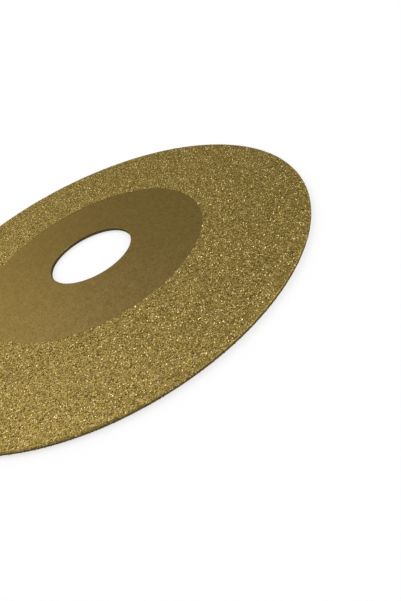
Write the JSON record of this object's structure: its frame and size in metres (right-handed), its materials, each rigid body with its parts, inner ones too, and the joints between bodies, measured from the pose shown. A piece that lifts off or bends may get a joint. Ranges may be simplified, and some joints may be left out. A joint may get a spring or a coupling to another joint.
{
  "type": "diamond cutting disc",
  "caption": "Thin flat steel cutting disc with a round centre bore, a smooth clamping centre and a raised diamond-grit band on both faces and the rim, gold coated.",
  "frame": {"origin": "centre of the bore, half way through the disc's thickness", "axes": "+Z along the bore axis; X and Y lie in the plane of the disc, which is round about Z"},
  "size_m": [0.1, 0.1, 0.001],
  "materials": {
    "gold_coat": "satin gold coating on steel",
    "diamond_grit": "gold coated diamond grit"
  },
  "bodies": {
    "root": {"diamond_disc": "gold_coat"}
  },
  "joints": []
}
